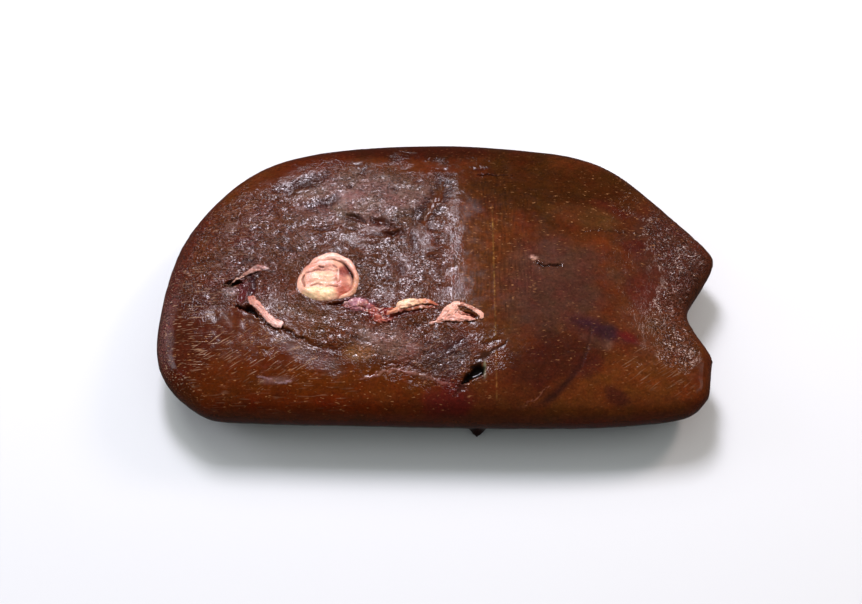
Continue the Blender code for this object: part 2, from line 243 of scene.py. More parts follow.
def addNode(tree, kind, sockets=None, out=0, **settings):
    # one node with its settings, its sockets linked or set, giving back one of its outputs
    node = tree.nodes.new("ShaderNode" + kind)
    for key, value in settings.items():
        setattr(node, key, value)
    for key, value in (sockets or {}).items():
        if isinstance(value, bpy.types.NodeSocket):
            tree.links.new(value, node.inputs[key])
        elif value is not None:
            node.inputs[key].default_value = value
    return node.outputs[out] if node.outputs else None


tree = world.node_tree
seen = addNode(tree, "LightPath", out="Is Camera Ray")
dim = addNode(tree, "Background", {"Color": (1, 1, 1, 1), "Strength": studio["ambient"]})
pale = addNode(tree, "Background", {"Color": hexColor(studio["backdrop"])})
both = addNode(tree, "MixShader", {0: seen, 1: dim, 2: pale})
addNode(tree, "OutputWorld", {"Surface": both})


def newMaterial(name):
    material = bpy.data.materials.new(name)
    material.use_nodes = True
    material.node_tree.nodes.clear()
    return material, material.node_tree


def paintedBoard():
    # matte white paint: gives a plain pale ground with a soft shadow
    material, tree = newMaterial("matte white paint")
    spot = addNode(tree, "TexCoord", out="Object")
    grain = addNode(tree, "TexNoise", {"Vector": spot, "Scale": 1 / (3 * mm)})
    bump = addNode(tree, "Bump", {"Height": grain, "Strength": 0.05, "Distance": 0.2 * mm})
    shader = addNode(tree, "BsdfPrincipled", {
        "Base Color": hexColor("#cfd3d3"), "Roughness": 0.9, "Specular IOR Level": 0.1, "Normal": bump})
    addNode(tree, "OutputMaterial", {"Surface": shader})
    return material


bpy.ops.mesh.primitive_plane_add(size=40, location=(0, 0, 0))
ground = bpy.context.object
ground.name = "ground"
ground.data.materials.append(paintedBoard())
ground.visible_glossy = False  # the wet sides keep their deep colour
print("studio, camera and ground are in place")


# The slab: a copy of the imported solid, remeshed, its cut face made finer and given its relief

slab = dict(
    voxel=2.1,  # mm, before the cut face is divided
    faceFrom=30,  # mm, the cut face's faces lie above this
    evening=70,  # rounds that take the solid's facets out of the cut face
    evened=(7, 13),  # mm in from the outline, where that fades in
    nearCuts=1.2,  # mm, faces this near a cut are divided once more
    faceRise=(30, 37),  # mm, heights between which the cut face's relief fades in
    faceInset=(3, 12),  # mm in from the outline, the same
    aboveRise=(26, 36),  # mm, heights between which the zones and colours fade in
    skinRise=(18, 34),  # mm, heights between which the skin of the sides ends
    bottomShadeRise=(3, 18),  # mm, heights between which the painted shade at the foot of the sides ends
    settling=0.3,  # mm, slow waves of soft meat
    lumps=0.30,  # mm, lumps of a centimetre where the flesh is torn
    bumps=0.05,  # mm, smaller lumps, 4 mm long
    lean=0.085,  # slope of the small planes that the flesh tears into
    sparkle=0.2,  # slope of the planes at the lobed end, which mirror in specks
    grain=0.05,  # mm, fine unevenness that the knife left
    ridges=0.08,  # mm, low ridges along the knife's way
    wrinkles=0.22,  # mm, of the skin on the sides
    dents=0.8,  # mm, depth of the short hollows, which painted shade also darkens
)

# Cuts and creases, or ridges where the depth is below 0: depth and lip in mm, colour and its strength, and
# the path as (x, y, half width) in mm. The dark colours in the holes, gaps, cuts, nicks and slot and under
# the ducts and the vein are painted shade, the pale colours on the ridges are painted highlight, and the
# torn tissue beside the left hole keeps its own dark red
marks = dict(
    blackHole=(4.0, 0.2, "#080202", 0.97, [
        (-114, -12.9, 0.6), (-111, -12.4, 1.6), (-107.5, -11.6, 1.9), (-104.6, -10.9, 0.9)]),
    tornBeside=(0.8, 0.3, "#2c1019", 0.75, [
        (-101.2, -7.5, 0.8), (-99.0, -11.5, 1.8), (-98.8, -16.5, 1.6), (-101.0, -21.4, 1.0)]),
    tornUnder=(0.6, 0.3, "#4a0f12", 0.8, [
        (-104.6, -13.5, 0.8), (-103.6, -18, 1.6), (-104.2, -22.5, 1.2)]),
    leftGap=(4.0, 0.2, "#0c0202", 0.97, [
        (-107, -26.6, 0.5), (-103.2, -27.4, 1.3), (-99.6, -28.4, 1.9), (-96.6, -30.6, 1.5),
        (-94.2, -33.2, 0.6)]),
    underLeftDuct=(0.6, 0, "#240a06", 0.6, [
        (-95, -32.2, 0.6), (-92, -35.6, 0.8), (-88.6, -38.8, 0.8), (-85, -40.6, 0.5)]),
    grooveHead=(0.9, 0.1, "#240906", 0.8, [
        (-82.5, -39.6, 0.6), (-79.1, -41.9, 1.2), (-74.9, -44.4, 1.0), (-70.5, -47.0, 0.5)]),
    groove=(0.4, 0.15, "#34150a", 0.4, [
        (-72, -46.2, 1.0), (-67.5, -48.6, 1.4), (-61.8, -51.4, 1.7), (-54, -52.8, 1.5),
        (-49.5, -50.2, 0.8)]),
    ridgeShade=(0.25, 0.1, "#3a130b", 0.4, [
        (-30, -61.0, 0.5), (-24, -60.0, 1.1), (-17.5, -60.8, 1.3), (-11.5, -63.4, 1.1), (-3.5, -66.6, 1.0),
        (4.6, -68.2, 0.6)]),
    slot=(4.2, 0.35, "#0b0908", 0.97, [
        (10.8, -70.4, 0.6), (13.8, -67.2, 1.9), (16.8, -64.6, 3.1), (19.4, -63.0, 2.9),
        (20.8, -61.6, 1.4)]),
    slotBack=(0.08, 0, "#22140f", 0.75, [
        (19, -59.5, 1.8), (22.5, -55.6, 1.8), (27.5, -51.8, 1.2), (35, -47.2, 0.5)]),
    slotFront=(0.5, 0.1, "#261614", 0.55, [(12.5, -70.0, 1.3), (9.8, -73.2, 1.2), (7.2, -76.6, 0.5)]),
    streak=(0.3, 0, "#231a1b", 0.6, [(3.2, -53.4, 0.8), (7.6, -49.8, 1.8), (11.6, -46.2, 0.8)]),
    pocket=(1.2, 0, "#300806", 0.95, [(11.0, -31.6, 0.5), (14.8, -32.2, 1.1), (18.6, -33.7, 0.9)]),
    rightNick=(1.0, 0.2, "#1d0803", 0.9, [
        (51.5, -0.4, 0.3), (55.0, -1.9, 0.8), (58.0, -1.2, 0.5), (61.0, -1.6, 0.8), (63.8, -1.4, 0.3)]),
    backNick=(0.12, 0, "#1d0803", 0.9, [
        (20.5, 57.2, 0.4), (26, 58.0, 0.9), (33, 57.4, 0.7), (41, 57.6, 0.3)]),
    ridgeLine=(-0.25, 0, "#80564a", 0.6, [
        (-41, -68.4, 0.4), (-32, -65.4, 0.6), (-24, -63.6, 0.6), (-15, -65.0, 0.5), (-7, -67.6, 0.6),
        (-1, -69.6, 0.6), (5, -70.8, 0.4)]),
    smallRidge=(-0.14, 0, "#8a6c70", 0.6, [
        (-93, -66.6, 0.3), (-89.5, -67.2, 0.6), (-86, -67.6, 0.3)]),
    smallRidgeFront=(-0.14, 0, "#8a6c70", 0.6, [
        (-84.5, -69.4, 0.3), (-80.5, -69.9, 0.6), (-76, -69.2, 0.3)]),
    foldLip=(-0.06, 0, "#6e4232", 0.6, [
        (21, -87.4, 0.4), (28, -86.0, 0.5), (36, -83.4, 0.5), (46, -78.6, 0.4), (55, -72.2, 0.3)]),
    thinLine=(0.35, 0, "#2a1006", 0.7, [(75.1, 20.8, 0.3), (91.4, 21.4, 0.4), (107.5, 20.8, 0.3)]),
    underVein=(1.2, 0, "#2a0603", 0.95, [
        (-58, -27.4, 0.7), (-53.4, -26.8, 1.4), (-48.5, -25.6, 1.2), (-45.5, -24.6, 0.7)]),
    gapLeft=(1.1, 0.1, "#32150a", 0.85, [(-51.5, 30.6, 0.6), (-46.5, 28.0, 1.7), (-41.0, 25.2, 0.8)]),
    gapMiddle=(1.0, 0.1, "#38180b", 0.8, [
        (-37.5, 27.4, 0.7), (-32.0, 25.6, 1.5), (-27.0, 23.0, 1.1), (-24.6, 20.2, 0.6)]),
    gapFront=(0.9, 0.1, "#32150a", 0.8, [
        (-31.6, 18.6, 0.4), (-26.4, 16.8, 1.1), (-20.8, 19.4, 0.7), (-18.6, 22.6, 0.4)]),
    notchBack=(0.7, 0, "#4e260f", 0.6, [
        (1.5, 52.0, 1.0), (-0.5, 44.0, 2.2), (-4.0, 36.0, 2.6), (-7.5, 28.5, 1.6), (-9.0, 23.0, 0.6)]),
    underDuct=(0.9, 0, "#3c0d05", 0.85, [
        (-25, -34.4, 0.8), (-18.5, -31.8, 1.5), (-11.5, -29.9, 1.5), (-4.5, -27.6, 1.0)]),
)
# The fold of the front lobe: an arc round a middle, in mm and degrees, with a low brow outside, and painted
# shade along its crease
fold = dict(middle=(22, -34), radius=54.5, opening=1.5, start=-90, end=-4, width=2.6, depth=0.08,
            brow=10.0, rise=0.08, colour="#28110b", strength=0.85)


def foldPath(count=14):
    rows = []
    middle = fold["middle"]
    for share in np.linspace(0, 1, count):
        angle = math.radians(fold["start"] + (fold["end"] - fold["start"]) * share)
        reach = fold["radius"] + fold["opening"] * share**2
        half = fold["width"] * (0.35 + 0.65 * math.cos(math.pi / 2 * share))
        rows.append((middle[0] + reach * math.cos(angle), middle[1] + reach * math.sin(angle), half))
    return rows


# Where the surface is wet, torn, cut smooth and so on: x, y, half length, half width, turn, strength
zones = dict(
    wet=[(-36, 14, 46, 48, 0, 1.0), (-108, -6, 28, 40, 0, 0.9), (-28, -48, 20, 14, -10, 1.0),
         (-66, -56, 22, 6, -32, 0.9), (2, -56, 18, 12, 30, 0.8), (-145, -34, 8, 30, 0, 0.9),
         (-84, -68, 10, 3, 0, 1.0), (13, 33, 10, 7, 30, 1.0), (-88, -22, 10, 8, 0, 0.9),
         (4, -82, 10, 10, 0, 0.6), (-40, 78, 60, 8, 0, 0.4)],
    rugged=[(-38, 12, 52, 60, 0, 1.0), (-106, 8, 40, 50, 0, 0.7), (-30, -46, 46, 20, -10, 1.0),
            (0, -56, 27, 17, 20, 1.0), (138, 0, 16, 42, 10, 0.6), (122, -42, 16, 24, 0, 0.5),
            (-90, -72, 50, 14, 0, 0.35), (-10, 68, 60, 11, 0, 0.4), (0, -5, 160, 95, 0, 0.08)],
    even=[(29, 8, 23, 50, 0, 1.0), (50, 5, 22, 44, 0, 1.0), (60, 50, 34, 20, -10, 0.8)],
    dented=[(-5, 66, 60, 12, 0, 0.8), (-40, 24, 46, 40, 0, 1.0), (-104, 6, 36, 50, 0, 0.8),
            (2, -50, 26, 18, 20, 0.9), (-36, -44, 26, 12, 0, 0.6)],
    knife=[(-132, -34, 24, 40, 0, 1.0), (-118, 24, 30, 34, 40, 0.5), (-90, -74, 46, 12, 0, 0.25)],
    scratched=[(-96, -54, 30, 16, 0, 1.0), (-4, -56, 18, 14, 0, 0.4), (112, -60, 20, 12, 0, 0.4)],
    sawn=[(26, 10, 24, 44, 0, 0.8), (10, -2, 8, 30, 0, 1.0)],
    grainy=[(-38, 12, 60, 62, 0, 0.55), (-105, 14, 44, 40, 0, 0.7), (-118, 0, 40, 18, 66, 0.8),
            (-146, -28, 8, 36, 0, 0.8), (-30, -46, 44, 22, -8, 0.55), (3, -57, 27, 20, 0, 0.5),
            (137, 2, 18, 46, 12, 1.0), (124, -36, 15, 24, 0, 0.9), (60, 55, 60, 26, -10, 0.25),
            (0, -5, 160, 95, 0, 0.12)],
    sparkly=[(136, 2, 19, 42, 14, 1.0), (124, -30, 14, 22, 0, 0.8), (110, -60, 14, 7, 28, 0.6)],
    flecks=[(-100, -60, 50, 30, 0, 1.0), (-30, -72, 60, 14, 0, 1.0), (26, 12, 24, 46, 0, 0.8),
            (96, 34, 46, 34, 0, 0.8), (90, -50, 50, 30, 0, 0.5), (0, 0, 160, 95, 0, 0.3)],
)
# Spots where the film fills the grain: x, y, half length, half width, turn
pools = [(-51.4, 42.9, 8, 4, 0), (-46, 13.1, 11, 4, -14), (-56, 7.5, 6, 2.5, 0), (-35, 18.5, 6, 3, 0),
         (-12, 12, 6, 9, 0), (-26, -20, 7, 3, 0), (-8, 24, 5, 4, 0), (-20, -3, 6, 8, 10),
         (-86, -22, 4, 6, 20), (-36, -46, 5, 3, 20), (14, 33, 6, 4, 20), (-108, 26, 10, 3, 35)]
# Hollows of the glossy part, darkened by painted shade: x, y, half length, half width, turn
dents = [(-45.5, 27, 5, 2.2, -12), (-32.5, 24.5, 6, 2, -20), (-25.5, 17, 6, 1.6, 8), (-6, 33, 6, 10, -32),
         (1, 47, 5, 8, -20), (-63, 39, 8, 3, 20), (-21, -5, 2.5, 3, 0), (-14, 12, 2, 6, 10),
         (-76, 52, 12, 5, 25)]
# Straight lines that the blade left across the slab: x, from y, to y, height, half width, colour, strength;
# their pale colours are painted highlight along the raised lines
bladeLines = [(6.2, -38, 26, 0.10, 0.4, "#8c706c", 0.35), (28.3, -80, 38, 0.05, 0.35, "#8a6430", 0.5)]


def faceCentres(piece):
    centres = np.empty(len(piece.data.polygons) * 3, np.float32)
    piece.data.polygons.foreach_get("center", centres)
    return centres.reshape(-1, 3).astype(float)


def divide(piece, chosen):
    activate(piece)
    bpy.ops.object.mode_set(mode="EDIT")
    bpy.ops.mesh.select_mode(type="FACE")
    bpy.ops.mesh.select_all(action="DESELECT")
    bpy.ops.object.mode_set(mode="OBJECT")
    piece.data.polygons.foreach_set("select", chosen)
    bpy.ops.object.mode_set(mode="EDIT")
    bpy.ops.mesh.subdivide(number_cuts=1, ngon=False)
    bpy.ops.mesh.select_all(action="DESELECT")
    bpy.ops.object.mode_set(mode="OBJECT")


def rimInset(points, slices=240):
    # how far each point lies inside the outline seen from above, in mm
    angle = np.arctan2(points[:, 1], points[:, 0])
    radius = np.hypot(points[:, 0], points[:, 1])
    bins = np.linspace(-math.pi, math.pi, slices + 1)
    spot = np.clip(np.digitize(angle, bins) - 1, 0, slices - 1)
    reach = np.zeros(slices)
    np.maximum.at(reach, spot, radius)
    outline = np.interp(angle, (bins[:-1] + bins[1:]) / 2, reach, period=2 * math.pi)
    return (outline - radius) / mm


def nearMarks(spots, margin):
    # which spots lie within a margin in mm of a cut, the fold or a line of the blade
    near = np.zeros(len(spots), bool)
    paths = [path for *_, path in marks.values()] + [foldPath()]
    paths += [[(x, y0, 0.1), (x, y1, 0.1)] for x, y0, y1, *_ in bladeLines]
    for path in paths:
        away, width, _, _ = beside(spots, path)
        near |= away < width + margin
    return near


# the solid is loose triangles, so its copy is merged first
liver = bpy.data.objects.new("liverSlab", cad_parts["liver"].data.copy())
bpy.context.scene.collection.objects.link(liver)
liver.data.materials.clear()
activate(liver)
bpy.ops.object.mode_set(mode="EDIT")
bpy.ops.mesh.select_all(action="SELECT")
bpy.ops.mesh.remove_doubles(threshold=0.00001)
bpy.ops.object.mode_set(mode="OBJECT")
applied(liver, "REMESH", mode="VOXEL", voxel_size=slab["voxel"] * mm)
points = readPoints(liver)
group = liver.vertex_groups.new(name="cutFace")
weights = step(rimInset(points), *slab["evened"]) * (points[:, 2] > slab["faceFrom"] * mm)
for index in np.nonzero(weights > 0.01)[0].tolist():
    group.add([index], float(weights[index]), "REPLACE")
applied(liver, "SMOOTH", factor=0.5, iterations=slab["evening"], vertex_group="cutFace")
applied(liver, "SMOOTH", factor=0.5, iterations=5)
liver.vertex_groups.clear()
centres = faceCentres(liver)
divide(liver, centres[:, 2] > slab["faceFrom"] * mm)
centres = faceCentres(liver)
divide(liver, nearMarks(centres[:, :2] / mm, slab["nearCuts"]) & (centres[:, 2] > slab["faceFrom"] * mm))
applied(liver, "SMOOTH", factor=0.5, iterations=3)
print("slab divided:", len(liver.data.polygons), "faces")

points = readPoints(liver)
normals = readPoints(liver, "normal")
spots = points[:, :2] / mm
heights = points[:, 2] / mm
onFace = step(heights, *slab["faceRise"]) * step(rimInset(points), *slab["faceInset"])
above = step(heights, *slab["aboveRise"])


def zoneMask(rows):
    shares = [strength * patch(spots, *oval, 0.35, wobble) for *oval, strength in rows]
    return above * np.max(shares, axis=0)


bumps = uneven(points, 4.2, (1.5, 1, 1), 1, 17.7)
wobble = 0.35 * uneven(points, 16, (1, 1, 1), 3, 11.0) + 0.2 * bumps
zoneMasks = {name: zoneMask(rows) for name, rows in zones.items()}
for name in ("rugged", "grainy"):
    zoneMasks[name] = zoneMasks[name] * (1 - 0.95 * zoneMasks["even"])
rugged = zoneMasks["rugged"]
lumps = uneven(points, 11, (1.5, 1, 1), 2, 7.7)
rise = above * slab["settling"] * uneven(points, 42, (1.4, 1, 1), 2, 3.1)
rise += onFace * slab["grain"] * uneven(points, 2.6, (1.6, 1, 1), 2, 1.3)
rise += rugged * (slab["lumps"] * lumps + slab["bumps"] * bumps)
bent = spots + np.stack((1.6 * bumps, 1.6 * lumps), 1)
rise += rugged * facets(bent, 8, slab["lean"], (1.3, 1), 5)
rise += rugged * facets(bent, 4, 0.8 * slab["lean"], (1.3, 1), 8)
rise += zoneMasks["sparkly"] * facets(bent, 4.2, slab["sparkle"], (1, 1), 13)
rise += slab["ridges"] * zoneMasks["knife"] * uneven(points, 3.0, (6, 1, 1), 1, 61.0)
rise += slab["ridges"] * zoneMasks["scratched"] * uneven(points, 3.0, (5, 1, 1), 1, 71.0, 32)
hollow = 0.7 * step(uneven(points, 4.5, (2.2, 1, 1), 3, 41.0), 0.3, 0.7) * zoneMasks["dented"]
fine = uneven(points, 1.6, octaves=2, seed=29.0)
for dent in dents:
    hollow = np.maximum(hollow, patch(spots, *dent, 0.8, 0.6 * bumps + 0.5 * fine))
rise -= onFace * slab["dents"] * hollow
bladeShare = []
for x, y0, y1, height, wide, colour, strength in bladeLines:
    drawn = onFace * np.exp(-(((spots[:, 0] - x) / wide) ** 2)) * (0.55 + fine)
    bladeShare.append(drawn * step(spots[:, 1], y0, y0 + 5) * (1 - step(spots[:, 1], y1 - 5, y1)))
    rise += height * bladeShare[-1]

# the rounded sides keep their skin, finely wrinkled
skin = 1 - step(heights, *slab["skinRise"])
rise += slab["wrinkles"] * skin * step(heights, 1, 6) * uneven(points, 6, (1.8, 1.8, 1), 3, 91.0)

# the cuts' paths and widths are torn a little
warps = [1.2 * uneven(points, 4, octaves=2, seed=wide) + 0.5 * uneven(points, 1.3, octaves=2, seed=fine)
         for wide, fine in ((21.0, 51.0), (37.0, 67.0))]
tornSpots = spots + np.stack(warps, 1)
swell = 1 + 0.45 * uneven(points, 5, octaves=2, seed=83.0)
darkness = np.zeros(len(points))
markTint = np.zeros((len(points), 3))


def darken(shade, colour):
    # each point keeps the colour of the strongest mark there, painted shade in cuts and highlight on ridges
    new = shade > darkness
    markTint[new] = hexColor(colour)[:3]
    darkness[new] = shade[new]


def cutMark(depth, lip, colour, strength, path):
    away, width, _, _ = beside(tornSpots, path)
    width = width * swell
    inside = 1 - step(away / width, 0.2, 1.2)
    bank = np.exp(-(((away - 1.8 * width) / (0.8 * width)) ** 2))
    rise[:] += onFace * (lip * bank - depth * inside)
    # the mark's colour over the face: painted shade in cuts and creases, painted highlight on low ridges
    darken(onFace * strength * (1 - step(away / width, 0.4, 1.45)), colour)


for mark in marks.values():
    cutMark(*mark)
away, width, along, side = beside(spots, foldPath())
inside = 1 - step(away / width, 0.2, 1.3)
outside = np.where(side < 0, away, 0) / fold["brow"]
brow = outside**2 * np.exp(1 - outside**2) * np.sin(math.pi * along)
rise += onFace * (fold["rise"] * brow - fold["depth"] * inside)
fades = step(along, 0, 0.1) * (1 - 0.4 * step(along, 0.5, 1))
# painted shade along the fold's crease
darken(onFace * fold["strength"] * (1 - step(away / width, 0.1, 1.4)) * fades, fold["colour"])

# The cut vein, in mm, and the depth of its bed: the outline is angle in degrees and reach from the middle
vein = dict(middle=(-59.3, -11.4), lift=0.08, bed=1.8, outline=[
    (-180, 15.8), (-158, 17.4), (-135, 15.6), (-104, 14.6), (-62, 14.6), (-40, 17.2),
    (-20, 17.4), (11, 16.2), (44, 15.9), (86, 15.8), (120, 14.4), (153, 14.2)])


def veinReach(angle):
    # the outline's reach at an angle, with its corners rounded
    turns = np.radians(np.arange(-180, 180, 2))
    corners, reaches = np.transpose(vein["outline"])
    rows = np.interp(turns, np.radians(corners), reaches, period=2 * math.pi)
    rounded = np.mean([np.roll(rows, n) for n in range(-7, 8)], axis=0)
    return np.interp(angle, turns, rounded, period=2 * math.pi)


off = spots - vein["middle"]
reach = veinReach(np.arctan2(off[:, 1], off[:, 0]))
rise -= onFace * vein["bed"] * (1 - step(np.hypot(*off.T) / reach, 0.82, 0.98))
points += normals * (rise * mm)[:, None]
points = np.clip(points, *cadBox)
writePoints(liver, points)
activate(liver)
bpy.ops.object.shade_smooth()
print("slab shaped")

# Colour of the cut face in soft patches: x, y, half length, half width, turn, colour, strength
flesh = "#471f09"
patches = dict(
    sheenField=(-40, 17, 50, 44, -8, "#45220f", 0.85),
    # painted shade: a dark band where the back edge rolls away from the light
    backEdgeShade=(-15, 77, 95, 9, 0, "#2a0c04", 0.9),
    darkBack=(-75, 62, 28, 10, 22, "#421606", 0.7),
    oliveCentre=(26, 2, 21, 52, 0, "#4b250c", 0.9),
    # painted sheen: mauve-grey patches that paint the wet film's reflection in the glossy part
    paintedSheenBack=(-42, 40, 36, 17, -4, "#634840", 0.7),
    paintedSheenFront=(-28, -48, 18, 8, -20, "#65463a", 0.75),
    underVein=(-62, -38, 18, 9, -20, "#4f2a12", 0.9),
    mauveSmooth=(60, -16, 27, 27, 10, "#3e241a", 0.9),
    backRight=(62, 50, 52, 26, -10, "#2f1503", 0.9),
    tip=(126, 6, 20, 34, 20, "#3d1d14", 0.8),
    frontLobe=(96, -74, 46, 20, 4, "#50260a", 0.9),
    notchSide=(112, -35, 22, 20, 0, "#4a2613", 0.8),
    lowerLeft=(-98, -62, 48, 24, -6, "#481a02", 0.9),
    knifeLeft=(-130, -40, 20, 26, 0, "#38140a", 0.8),
    frontMid=(-38, -70, 46, 12, 0, "#4c1f03", 0.9),
    frontBand=(-70, -86, 76, 9, 0, "#501801", 0.9),
    frontRed=(4, -80, 13, 11, 0, "#46100b", 0.9),
    # painted reflection: a lighter mauve band along the left rim, which the left softbox also lights
    leftRimSheen=(-146, -28, 7, 36, 0, "#54302c", 0.8),
    leftBand=(-135, 20, 6, 40, -14, "#431609", 0.9),
    redLeft=(-104, 13, 7, 4, 20, "#430f09", 0.75),
    redUpper=(-98, 34, 12, 5, 30, "#43130a", 0.6),
    # painted sheen on a small patch near the front
    paintedSheenSmall=(-84, -68.4, 7, 2, 0, "#664844", 0.5),
    leftPatch=(-106, -14, 16, 26, 0, "#441c0e", 0.7),
    greyPink=(-110.4, -16.8, 3.6, 2.2, 0, "#75605c", 0.85),
    darkRed=(-103.4, -17, 3, 7, 0, "#430d12", 0.8),
    tanPatch=(-42, -54.5, 8.5, 4.4, 0, "#6e4224", 0.85),
    bankLeft=(-69, -53.5, 20, 4.5, -28, "#4e3029", 0.8),
    slotLeft=(3, -55, 15, 9, 35, "#3a2019", 0.8),
    slotEdge=(22.4, -63.6, 0.7, 4.6, 0, "#6a6650", 0.8),
    veinTail=(-77.0, -19.4, 2.8, 1.1, 20, "#8a5646", 0.5),
    mauveBed=(-44, -27.5, 7.5, 3.6, -4, "#6a4048", 0.85),
    redBed=(-31, -33, 7, 4.6, -10, "#4a0c08", 0.9),
    stainPale=(81, -46.5, 9, 3.2, -15, "#5e4436", 0.6),
    stainBack=(84, -39.5, 15, 5.0, -24, "#2b141b", 0.9),
    redNotch=(104, 13, 6, 3.5, 20, "#3c1008", 0.7),
    redBack=(92, 36, 10, 4, -30, "#43160a", 0.6),
    oliveBack=(78, 30, 18, 7, -14, "#4c2c12", 0.6),
    orangeSpot=(84, 13, 6, 4, 0, "#5c260c", 0.6),
    # painted sheen: a faint grey veil of reflection over the smooth middle
    paintedGreySheen=(66, 2, 24, 12, -8, "#44281c", 0.6),
    # painted shade on the fold's crease
    foldShade=(76, -60, 7, 6, 40, "#35100a", 0.6),
    stainRed=(96, -43, 6, 3, -20, "#4d120f", 0.8),
    stainFront=(90, -76, 7, 4, -35, "#2c0d0b", 0.65),
    redFold=(58, -58, 24, 14, 30, "#331208", 0.9),
    redTip=(108, -18, 10, 10, 0, "#421010", 0.6),
    palePoint=(49.8, 3.0, 1.7, 1.0, -20, "#b08c7a", 0.9),
)
tint = hexColor(flesh)[:3]
for *oval, colour, strength in patches.values():
    tint = washed(tint, strength * above * patch(spots, *oval, 0.45, wobble), colour)
# painted highlight along the blade's lines
for (*_, colour, strength), share in zip(bladeLines, bladeShare):
    tint = washed(tint, np.clip(strength * share, 0, 1), colour)
tint = washed(tint, skin, "#34120a")
# painted shade: the sides darken towards the bottom, where the slab meets the ground
tint = washed(tint, 1 - step(points[:, 2] / mm, *slab["bottomShadeRise"]), "#1c0805")
# painted shade in the hollows of the cut face
tint = washed(tint, 0.9 * onFace * step(hollow, 0.1, 0.6), "#30120a")
tint = tint * (1 - darkness[:, None]) + markTint * darkness[:, None]
writeTint(liver, tint)
smooth = np.max([patch(spots, *pool, 0.6, wobble) for pool in pools], axis=0)
zoneMasks["grainy"] = zoneMasks["grainy"] * (1 - 0.45 * smooth) * (1 - 0.3 * zoneMasks["knife"])
for name in ("knife", "scratched", "sawn", "grainy", "flecks"):
    writeMask(liver, name, zoneMasks[name] * (1 - darkness))
# roughness of the wet film: sharpest where the knife went, softer in the glossy part and in its hollows
dull = np.maximum(hollow, 0.6 * darkness) * zoneMasks["wet"]
film = 0.12 + 0.05 * zoneMasks["wet"] + 0.03 * smooth - 0.04 * zoneMasks["knife"] + 0.02 * dull
writeMask(liver, "film", film)


